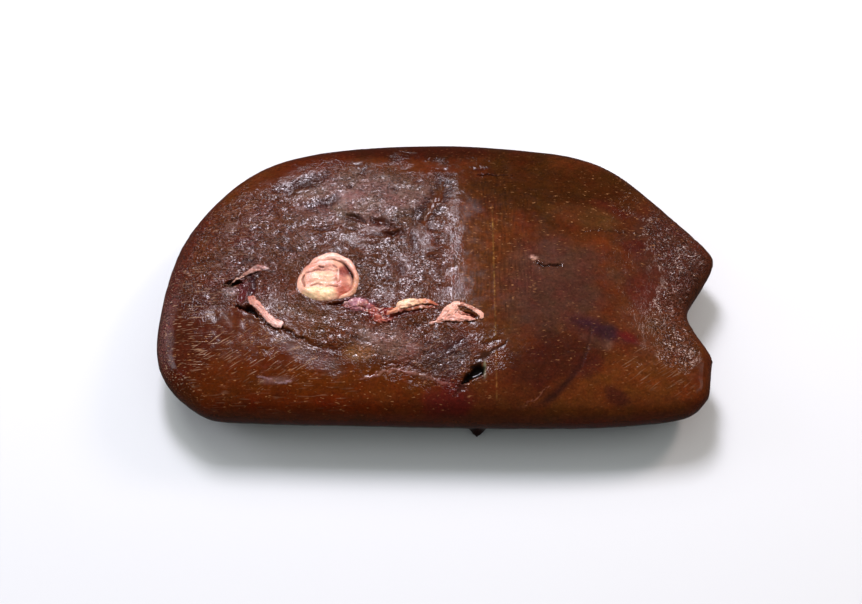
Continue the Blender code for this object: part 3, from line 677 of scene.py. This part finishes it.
def wetLiver():
    # raw liver cut with a knife and wet: dark red brown, finely lobed, with a broken mirror-like sheen
    material, tree = newMaterial("wet cut liver")
    spot = addNode(tree, "TexCoord", out="Object")
    tint = addNode(tree, "Attribute", out="Color", attribute_name="tint")
    masks = {name: addNode(tree, "Attribute", out="Fac", attribute_name=name)
             for name in ("film", "knife", "scratched", "sawn", "grainy", "flecks")}
    # each pattern's size in mm, how far it is drawn out along x and y, its turn in degrees and its detail
    layers = dict(
        mottle=(1.2, 1, 1, 0, 1.5), clouds=(8, 1.3, 1, 0, 3), redness=(13, 1, 1, 0, 3),
        flecks=(1.0, 2.6, 1, 0, 1), knife=(0.75, 11, 1, 2, 0.4), scratched=(0.75, 10, 1, 34, 0.4),
        pits=(1.1, 1.4, 1, 0, 1.0), sawn=(1.1, 1, 7, 0, 0.5), grainy=(1.4, 1.2, 1, 0, 0.3),
        film=(3.5, 1.5, 1, 0, 2))
    patterns = dict(where=masks["grainy"])
    for name, (size, long, wide, turn, detail) in layers.items():
        drawn = addNode(tree, "Mapping", {
            "Vector": spot, "Rotation": (0, 0, math.radians(turn)),
            "Scale": (size * long * mm, size * wide * mm, size * mm)}, vector_type="TEXTURE")
        patterns[name] = addNode(tree, "TexNoise", {
            "Vector": drawn, "Scale": 1.0, "Detail": detail, "Roughness": 0.6})
    # lobules just over 1 mm across, with fine grooves between
    swirl = addNode(tree, "TexNoise", {"Vector": spot, "Scale": 1 / (2.5 * mm), "Detail": 1.0}, out=1)
    swirl = addNode(tree, "VectorMath", {0: swirl, "Scale": 1.4 * mm}, operation="SCALE")
    bent = addNode(tree, "VectorMath", {0: spot, 1: swirl}, operation="ADD")
    bent = addNode(tree, "Mapping", {"Vector": bent, "Scale": (1.5 * mm, 1.15 * mm, 1.15 * mm)},
                   vector_type="TEXTURE")
    patterns["groove"] = addNode(tree, "TexVoronoi", {"Vector": bent, "Scale": 1.0}, out="Distance",
                                 feature="DISTANCE_TO_EDGE")
    lobule = addNode(tree, "TexVoronoi", {"Vector": bent, "Scale": 1.0}, out="Color")
    patterns["lobule"] = addNode(tree, "SeparateColor", {"Color": lobule})
    # what is read from a pattern, between which of its values, and what these turn into
    ranges = dict(
        mottle=("mottle", 0.3, 0.7, 0.82, 1.18), lobule=("lobule", 0, 1, 0.84, 1.16),
        clouds=("clouds", 0.3, 0.7, 0.86, 1.14), sawn=("sawn", 0.3, 0.7, -0.3, 0.3),
        redder=("redness", 0.5, 0.75, 0, 0.85), greener=("redness", 0.5, 0.3, 0, 0.85),
        knife=("knife", 0.6, 0.73, 0, 1), scratched=("scratched", 0.6, 0.73, 0, 1),
        paler=("redness", 0.38, 0.58, 0.15, 0.6), flecks=("flecks", 0.66, 0.76, 0, 1),
        pits=("pits", 0.36, 0.47, 1, 0), pitted=("where", 0.25, 0.55, 0, 1),
        lobes=("groove", 0, 0.14, 0, 1), uneven=("film", 0.42, 0.62, 0, 0.05),
        drier=("lobule", 0.6, 0.9, 0, 0.07))
    shares = {}
    for name, (pattern, low, high, toLow, toHigh) in ranges.items():
        shares[name] = addNode(tree, "MapRange", {
            "Value": patterns[pattern], "From Min": low, "From Max": high, "To Min": toLow, "To Max": toHigh,
        }, interpolation_type="SMOOTHSTEP" if name in ("knife", "scratched") else "LINEAR")
    # the flesh is mottled, with fine lines drawn by the blade, redder in some places and olive in others
    shade = addNode(tree, "Math", {0: shares["sawn"], 1: masks["sawn"], 2: 1.0}, operation="MULTIPLY_ADD")
    for name in ("mottle", "lobule", "clouds"):
        shade = addNode(tree, "Math", {0: shade, 1: shares[name]}, operation="MULTIPLY")
    colour = tint
    for name, change in (("redder", (1.08, 0.72, 0.8)), ("greener", (0.9, 1.12, 0.95))):
        changed = addNode(tree, "VectorMath", {0: tint, 1: change}, operation="MULTIPLY")
        colour = addNode(tree, "Mix", {0: shares[name], 6: colour, 7: changed}, out=2, data_type="RGBA")
    colour = addNode(tree, "VectorMath", {0: colour, "Scale": shade}, operation="SCALE")
    # over it lie sparse thin ridges of the knife, painted paler as their highlight, sparse pale specks of
    # connective tissue that also paint the wet face's small glints, and dark pits between the lobules, which
    # are painted shade
    overlays = [
        (shares["knife"], masks["knife"], shares["paler"], "#a8876a"),
        (shares["scratched"], masks["scratched"], shares["paler"], "#a8876a"),
        (shares["flecks"], masks["flecks"], 0.8, "#946640"),
        (shares["pits"], shares["pitted"], 0.5, "#1c0904"),
    ]
    for value, mask, strength, code in overlays:
        share = addNode(tree, "Math", {0: value, 1: mask}, operation="MULTIPLY")
        share = addNode(tree, "Math", {0: share, 1: strength}, operation="MULTIPLY")
        colour = addNode(tree, "Mix", {0: share, 6: colour, 7: hexColor(code)}, out=2, data_type="RGBA")
    # the pits sink, and the knife's ridges and the lobules stand up, by heights in mm
    reliefs = [
        (shares["pits"], shares["pitted"], -0.3), (shares["knife"], masks["knife"], 0.08),
        (shares["scratched"], masks["scratched"], 0.08), (patterns["grainy"], masks["grainy"], 0.18),
        (shares["lobes"], masks["grainy"], 0.12),
    ]
    normal = None
    for value, mask, height in reliefs:
        lift = addNode(tree, "Math", {0: value, 1: mask}, operation="MULTIPLY")
        normal = addNode(tree, "Bump", {"Height": lift, "Distance": abs(height) * mm, "Normal": normal},
                         invert=height < 0)
    # the film is uneven, and some lobules lie drier, which breaks the sheen into specks
    film = addNode(tree, "Math", {0: shares["uneven"], 1: masks["film"]}, operation="ADD")
    film = addNode(tree, "Math", {0: shares["drier"], 1: masks["grainy"], 2: film},
                   operation="MULTIPLY_ADD")
    shader = addNode(tree, "BsdfPrincipled", {
        "Base Color": colour, "Roughness": film, "Normal": normal, "IOR": 1.36})
    addNode(tree, "OutputMaterial", {"Surface": shader})
    return material


def fibrousTissue(name, wet=0.3):
    # cut vein and duct walls: pale rubbery fibres, wet and slightly see-through, in bundles 1.1 mm apart,
    # which is coarser than the real ones, so that they show
    material, tree = newMaterial(name)
    spot = addNode(tree, "TexCoord", out="Object")
    tint = addNode(tree, "Attribute", out="Color", attribute_name="tint")
    blotch = addNode(tree, "TexNoise", {
        "Vector": spot, "Scale": 1 / (2.2 * mm), "Detail": 3.0, "Roughness": 0.6})
    shade = addNode(tree, "MapRange", {
        "Value": blotch, "From Min": 0.3, "From Max": 0.7, "To Min": 0.78, "To Max": 1.15})
    colour = addNode(tree, "VectorMath", {0: tint, "Scale": shade}, operation="SCALE")
    fibre = addNode(tree, "TexNoise", {"Vector": spot, "Scale": 1 / (1.1 * mm), "Detail": 1.0})
    bump = addNode(tree, "Bump", {"Height": fibre, "Distance": 0.25 * mm})
    shader = addNode(tree, "BsdfPrincipled", {
        "Base Color": colour, "Normal": bump, "Roughness": wet, "IOR": 1.38, "Subsurface Weight": 0.2,
        "Subsurface Radius": (1.0, 0.45, 0.3), "Subsurface Scale": 1.0 * mm})
    addNode(tree, "OutputMaterial", {"Surface": shader})
    return material


veinWallTissue = fibrousTissue("cut vein wall")
ductTissue = fibrousTissue("bile duct wall")
bloodyTissue = fibrousTissue("torn bloody tissue", 0.16)

liver.data.materials.append(wetLiver())
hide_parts("liver")
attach(liver, "root")
print("slab finished")


def finishPiece(piece, material, colours, washes):
    # washes of colour over the first one, each with its share at every point, then the material
    for share, code in washes:
        colours = washed(colours, share, code)
    writeTint(piece, colours)
    activate(piece)
    bpy.ops.object.transform_apply()
    bpy.ops.object.shade_smooth()
    piece.data.materials.append(material)
    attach(piece, "root")


# Height of the finished cut face, for the pieces that lie on it

bpy.context.view_layer.update()
cutFace = BVHTree.FromObject(liver, bpy.context.evaluated_depsgraph_get())


def faceHeight(x, y):
    return cutFace.ray_cast(Vector((x * mm, y * mm, 0.1)), Vector((0, 0, -1)))[0].z / mm


# The cut vein: a thick oval wall round its folded lining

veinX, veinY = vein["middle"]
turns = np.linspace(0, 2 * math.pi, 16, endpoint=False)
reaches = veinReach(turns) + 2
veinBase = vein["lift"] + np.mean([faceHeight(veinX + reach * math.cos(turn), veinY + reach * math.sin(turn))
                                   for reach, turn in zip(reaches, turns)])


def around(angle, degrees, spread):
    # 1 at an angle on the ring, fading to 0 either side of it
    off = angle - math.radians(degrees)
    return np.exp(-((np.degrees(np.arctan2(np.sin(off), np.cos(off))) / spread) ** 2))


def wallThickness(angle):
    # mm in plan: thickest at the back, thin at the front where the lining runs over it
    return 3.3 + 1.5 * around(angle, 92, 40) + 0.5 * around(angle, 200, 30) - 1.3 * around(angle, -100, 45)


def joined(angle):
    # 1 where the lining runs over the wall, at the left and the front, and 0 where a gap parts them
    return step(-np.cos(angle - math.radians(38)), -0.1, 0.35)


def veinWall(ring=15 * mm, tube=1 * mm):
    # a ring drawn out to the vein's own outline, thickness and height
    bpy.ops.object.select_all(action="DESELECT")
    bpy.ops.mesh.primitive_torus_add(major_segments=200, minor_segments=36, major_radius=ring,
                                     minor_radius=tube, location=(0, 0, 0))
    piece = bpy.context.object
    piece.name = "veinWall"
    points = readPoints(piece)
    angle = np.arctan2(points[:, 1], points[:, 0])
    outward = (np.hypot(points[:, 0], points[:, 1]) - ring) / tube
    upward = points[:, 2] / tube
    thick = wallThickness(angle) / 2
    scallops = 0.25 * np.sin(9 * angle + 1) * around(angle, 60, 90)
    reach = veinReach(angle) - thick + outward * thick + scallops
    height = (1.5 + 0.4 * around(angle, 80, 50)) * (1 - 0.7 * joined(angle))
    flat = np.sign(upward) * np.abs(upward) ** 0.6
    z = veinBase + 0.1 + flat * height - 0.45 * np.maximum(outward, 0) ** 2 - 1.1 * joined(angle)
    # fibres run round the wall
    along = np.stack((angle * 0.016, outward * 0.0012, upward * 0.0012), 1)
    fibres = uneven(along, 1.1, (3.5, 1, 1), 2, 5.0)
    x = veinX + (reach + 0.14 * fibres) * np.cos(angle)
    y = veinY + (reach + 0.14 * fibres) * np.sin(angle)
    points = np.stack((x, y, z + 0.2 * fibres), 1) * mm
    lumps = uneven(points, 6, octaves=2, seed=5.0)[:, None]
    points += mm * lumps * np.stack((0.3 * np.cos(angle), 0.3 * np.sin(angle), 0.35 + 0 * angle), 1)
    writePoints(piece, points)
    washes = [
        (around(angle, 70, 45), "#e6b6a2"), (around(angle, 190, 40), "#e0a992"),
        (around(angle, -18, 25), "#b57c5a"), (around(angle, -110, 55), "#dcae88"),
        (0.5 * step(fibres, 0.1, 0.6), "#b8705f"),
        # painted shade: the inner face darkens where a gap parts it from the lining, and the lower half of
        # the wall darkens
        (0.7 * step(-outward, 0.45, 0.9) * around(angle, 20, 45), "#6b2a20"),
        (0.75 * step(outward, 0.7, 1.0), "#a06450"), (0.8 * step(-upward, 0.0, 0.4), "#5a2218"),
    ]
    finishPiece(piece, veinWallTissue, hexColor("#d29a85")[:3], washes)


def veinLining():
    # a flat ball with ridges and creases: their path as (x, y, half width) and how far they stand up, in mm
    folds = [
        ([(-71, -8.0, 1.8), (-64, -4.6, 2.0), (-57, -3.6, 1.8), (-52.5, -6.4, 1.1)], 0.8),
        ([(-71.5, -9.4, 0.3), (-66, -7.6, 0.5), (-60, -6.9, 0.5), (-56.5, -7.8, 0.3)], -0.25),
        ([(-69, -12.4, 2.2), (-62, -11.0, 2.6), (-56, -11.6, 2.2)], 0.6),
        ([(-68, -16.4, 0.3), (-64.5, -15.9, 0.5), (-61.5, -16.1, 0.3)], -0.5),
        ([(-60, -17.0, 0.3), (-57, -16.8, 0.5), (-54, -16.6, 0.3)], -0.55),
        ([(-70, -19.4, 1.8), (-63, -21.0, 2.6), (-56, -20.8, 2.0)], 0.9),
        ([(-71.6, -10.4, 0.4), (-72.2, -13.8, 0.6), (-71.4, -17.2, 0.4)], -1.6),
        ([(-54.1, -6.4, 0.3), (-53.5, -10, 0.4), (-53.4, -13.6, 0.3)], 0.4),
        ([(-63.6, -5.4, 0.4), (-62.4, -5.5, 0.6), (-61.2, -5.3, 0.4)], -0.7),
        ([(-56.2, -4.6, 0.4), (-55.2, -5.0, 0.6), (-54.2, -5.3, 0.4)], -0.8),
    ]
    bpy.ops.object.select_all(action="DESELECT")
    bpy.ops.mesh.primitive_uv_sphere_add(segments=160, ring_count=90, location=(0, 0, 0))
    piece = bpy.context.object
    piece.name = "veinLining"
    unit = readPoints(piece)
    angle = np.arctan2(unit[:, 1], unit[:, 0])
    reach = np.hypot(unit[:, 0], unit[:, 1])
    gap = 1.7 * around(angle, 22, 34) + 0.4 * around(angle, -35, 25)
    merged = joined(angle)
    edge = veinReach(angle) + merged * -0.3 + (1 - merged) * (0.7 - gap - wallThickness(angle))
    x = veinX + edge * reach * np.cos(angle) - 1.2 * (1 - reach)
    y = veinY + edge * reach * np.sin(angle) - 1.0 * (1 - reach)
    spots = np.stack((x, y), 1)
    filled = around(angle, 112, 36) * (1 - merged)
    top = (1.3 + 0.3 * merged) * (1 - (1 - filled) * reach**8) - 0.9 * merged * reach**8
    top -= 1.3 * step(spots[:, 0], -54, -47) * step(reach, 0.3, 0.9)  # it slopes down to the right
    crease = np.zeros(len(spots))
    for path, rise in folds:
        away, width, _, _ = beside(spots + 0.35 * np.sin(spots[:, ::-1] * 0.9), path)
        shape = np.exp(-((away / width) ** 2))
        top += rise * shape
        crease = np.maximum(crease, shape * (rise < 0))
    z = veinBase + np.where(unit[:, 2] >= 0, 0.1 + top, -2.2 * (1 - reach**4) + 0.1)
    points = np.stack((x, y, z), 1) * mm
    upper = (unit[:, 2] > 0.02).astype(float)
    wrinkles = 0.28 * uneven(points, 3.0, (1.8, 1, 1), 2, 2.0)
    wrinkles += 0.14 * uneven(points, 1.3, (2.4, 1, 1), 1, 4.0)
    points[:, 2] += wrinkles * upper * mm
    writePoints(piece, points)
    ovals = [
        (-74, -12, 2.4, 8, 0, "#e3b299", 0.9), (-68, -23, 9, 2.2, -14, "#dcae88", 0.9),
        (-64, -4.5, 9, 3, 5, "#cd917f", 0.8), (-69.0, -12, 2.5, 6, 0, "#cc9180", 0.6),
        (-60, -11.5, 7, 4, 0, "#e4bc9c", 0.85), (-63, -21, 8, 3.4, 0, "#f2cd9f", 0.95),
        # the dark red ovals at the right are painted shade in the gap where the lining parts from the wall,
        # and the thin pale oval on the raised edge is a painted highlight
        (-52.0, -14, 3.6, 8, 10, "#b87562", 0.9), (-49.5, -20, 5, 4.5, 30, "#a4503c", 0.9),
        (-50.5, -7, 3, 4, -30, "#7c2f28", 0.9), (-53.7, -10, 0.45, 3.4, 0, "#f3d2bd", 0.7),
        (-62, -2.2, 5, 1.2, 5, "#eebfb2", 0.8),
    ]
    washes = [(strength * patch(spots, *oval, 0.4), code) for *oval, code, strength in ovals]
    washes.append((0.3 * step(uneven(points, 2.4, (1.6, 1, 1), 2, 12.0), 0.1, 0.5), "#c0705f"))
    # painted shade in the creases and at the seam where the lining meets the wall
    rim = step(reach, 0.88, 1.0) * (1 - merged) * (1 - filled) * (0.08 + 0.85 * around(angle, 15, 48))
    rim = np.maximum(rim, 0.6 * merged * step(reach, 0.96, 1.0))
    washes.append((np.clip(np.maximum(crease * 0.7, rim), 0, 1), "#641f16"))
    finishPiece(piece, veinWallTissue, hexColor("#dba68a")[:3], washes)


veinWall()
veinLining()
print("vein finished")

# Ducts, membrane and torn tissue: how flat each is, how far its middle lies over the face in half widths,
# its colours from start to end, and its path as (x, y, half width) in mm

strands = dict(
    leftDuct=(0.4, 0.15, "#8a4a3e #b8806e #c08b7b #c89686 #dab0a3 #e4beb3", [
        (-100.6, -20.2, 0.7), (-99.0, -22.4, 1.9), (-96.6, -25.2, 2.2), (-94.0, -28.2, 1.9),
        (-91.6, -31.4, 1.8), (-88.8, -34.6, 2.2), (-86.2, -36.8, 2.6), (-83.4, -38.0, 2.4),
        (-81.8, -38.6, 1.7)]),
    middleDuct=(0.4, 0.1, "#d09a78 #e8c19a #ebc69e #dda47c #b2603f #7c2f24", [
        (-23.0, -29.4, 0.8), (-20.8, -27.9, 2.2), (-17, -26.6, 2.6), (-12.5, -25.6, 2.1), (-8, -25.1, 1.5),
        (-4.0, -25.6, 0.9), (-0.6, -27.2, 0.4)]),
    middleDuctRoot=(0.45, 0.0, "#7c2418 #cf8a66 #d99a76 #b0603e", [
        (-28.4, -32.8, 0.5), (-25.6, -31.6, 1.3), (-22.8, -30.2, 1.6), (-20.4, -29.2, 0.7)]),
    middleDuctUnder=(0.4, -0.25, "#6e2415 #8c4a2c #93502f #7c3a22 #5a1a10", [
        (-21.5, -31.0, 0.5), (-17, -29.2, 1.4), (-11, -27.9, 1.6), (-5, -27.4, 1.2), (-1, -28.6, 0.5)]),
    rightDuct=(0.4, 0.1, "#a87462 #d09682 #dba48e #e2b09a", [
        (-6, -37.6, 0.4), (-2.4, -36.4, 1.2), (1.0, -34.6, 2.2), (4.0, -31.6, 3.3), (6.4, -28.6, 2.7),
        (8.2, -26.2, 1.5), (9.4, -24.6, 0.6)]),
    rightDuctBed=(0.3, -0.1, "#c48c76 #bd8370 #9a5a48 #6a2a20", [
        (3, -33.2, 1.5), (8, -30.8, 2.8), (12.5, -31.0, 1.9), (15.5, -32.0, 0.6)]),
    rightDuctBack=(0.6, 0.2, "#d39c86 #b27a66 #d8a590 #dda992", [
        (7.6, -26.8, 1.2), (11.5, -26.9, 1.3), (15.5, -28.4, 1.2), (19.2, -30.6, 1.3), (21.4, -33.0, 1.4),
        (20.6, -35.4, 0.8)]),
    rightDuctFront=(0.5, 0.15, "#d79f8a #d09482 #cf9582 #b27868", [
        (2.6, -34.4, 1.8), (7.4, -34.2, 2.3), (11.4, -34.6, 1.9), (15.2, -34.8, 1.3), (18.2, -35.2, 0.5)]),
    membrane=(0.22, 0.1, "#a8806e #a8806e #8c6558 #70504a #54342e", [
        (-114.4, -12.4, 0.3), (-110.5, -10.6, 0.6), (-106.5, -8.7, 0.6), (-102.8, -6.2, 0.9),
        (-99.6, -4.2, 1.6), (-96.2, -3.2, 2.2), (-93.2, -3.4, 1.7), (-90.4, -4.6, 0.6)]),
    mauveTissue=(0.22, -0.02, "#6e342c #96656c #a0747c #8c555a #6a2a28", [
        (-51.5, -28.0, 0.7), (-48.5, -27.4, 1.8), (-44.8, -26.4, 2.7), (-40.8, -26.4, 2.8),
        (-37.4, -27.8, 2.0), (-35, -29.4, 0.8)]),
    mauveFront=(0.35, 0.0, "#5e2a26 #8a5a60 #7c4a4e #5e2220", [
        (-48, -29.6, 0.6), (-44.5, -29.9, 1.4), (-40.5, -30.2, 1.4), (-37.5, -30.6, 0.6)]),
    clotBack=(0.45, -0.05, "#4a0c08 #8c3a2e #560f08 #6a150c #a85a40", [
        (-38.6, -29.6, 0.8), (-35.8, -30.6, 2.0), (-32.4, -31.4, 2.6), (-29.4, -31.2, 2.2),
        (-26.8, -30.2, 1.3), (-25, -29.6, 0.5)]),
    clotFront=(0.45, -0.05, "#4a0c08 #8f4436 #560f08 #64140c", [
        (-36.4, -34.2, 0.6), (-33.4, -35.2, 1.8), (-30, -36.2, 2.1), (-26.8, -35.6, 1.5),
        (-24.0, -34.0, 0.6)]),
)


def drawStrand(name, flat, lift, colours, path, sides=16):
    # a small disc, drawn out step by step along its path
    rows = smoothPath(path, 4)
    places = [Vector((x, y, faceHeight(x, y) + lift * half)) * mm for x, y, half in rows]
    runs = [b - a for a, b in zip(places, places[1:])] + [places[-1] - places[-2]]
    headings = [math.atan2(run.y, run.x) for run in runs]
    bpy.ops.object.select_all(action="DESELECT")
    upright = (math.pi / 2, 0, headings[0] + math.pi / 2)
    bpy.ops.mesh.primitive_circle_add(vertices=sides, radius=rows[0][2] * mm, fill_type="NGON",
                                      location=places[0], rotation=upright)
    piece = bpy.context.object
    piece.name = name
    bpy.ops.object.transform_apply()
    bpy.ops.object.mode_set(mode="EDIT")
    bpy.ops.mesh.select_all(action="SELECT")
    bpy.ops.transform.resize(value=(1, 1, flat), center_override=places[0])
    for n in range(1, len(rows)):
        bpy.ops.mesh.extrude_region_move(TRANSFORM_OT_translate={"value": places[n] - places[n - 1]})
        grow = rows[n][2] / rows[n - 1][2]
        bpy.ops.transform.resize(value=(grow, grow, grow), center_override=places[n])
        turn = (headings[n] - headings[n - 1] + math.pi) % (2 * math.pi) - math.pi
        bpy.ops.transform.rotate(value=-turn, orient_axis="Z", center_override=places[n])
    bpy.ops.mesh.select_all(action="SELECT")
    bpy.ops.mesh.normals_make_consistent(inside=False)
    bpy.ops.object.mode_set(mode="OBJECT")
    applied(piece, "SUBSURF", levels=2, render_levels=2)
    points, normals = readPoints(piece), readPoints(piece, "normal")
    away, _, along, side = beside(points[:, :2] / mm, path)
    run = np.hypot(*np.diff(rows[:, :2], axis=0).T).sum()
    fibres = uneven(np.stack((along * run, away * side, along * 0), 1) * mm, 0.9, (7, 1, 1), 2, 23.0)
    bloody = name.startswith(("clot", "mauve"))
    lumpy, rough = (0.7, 0.32) if bloody else (0.36, 0.14)
    swelling = lumpy * uneven(points, 3.2, octaves=2, seed=len(name))
    swelling += rough * uneven(points, 1.3, (1.6, 1, 1), 1, 31.0) + 0.2 * fibres
    ragged = np.zeros_like(points)
    for axis, seed in ((0, 3.0), (1, 9.0)):
        ragged[:, axis] = 0.5 * mm * uneven(points, 2.2, octaves=2, seed=seed)
    writePoints(piece, points + normals * (swelling * mm)[:, None] + ragged)
    codes = np.array([hexColor(code)[:3] for code in colours.split()])
    stops = np.linspace(0, 1, len(codes))
    shades = np.stack([np.interp(along, stops, codes[:, channel]) for channel in range(3)], 1)
    washes = [
        (0.6 * step(uneven(points, 1.9, (1.5, 1, 1), 2, 7.0), 0.05, 0.5), "#b06a58"),
        (0.45 * step(uneven(points, 1.6, octaves=2, seed=13.0), 0.2, 0.5), "#f0d0bf"),
        # painted shade in the dips and between the fibres, and on the steep sides, where it also blends the
        # strand into the flesh
        (0.75 * step(-swelling, 0.08, 0.45), "#5a1a12"), (0.55 * step(-fibres, 0.15, 0.6), "#8c4638"),
        (0.85 * (1 - step(normals[:, 2], 0.1, 0.75)), "#6a3020"),
    ]
    finishPiece(piece, bloodyTissue if bloody else ductTissue, shades, washes)


for name, values in strands.items():
    drawStrand(name, *values)
print("ducts and tissue finished")
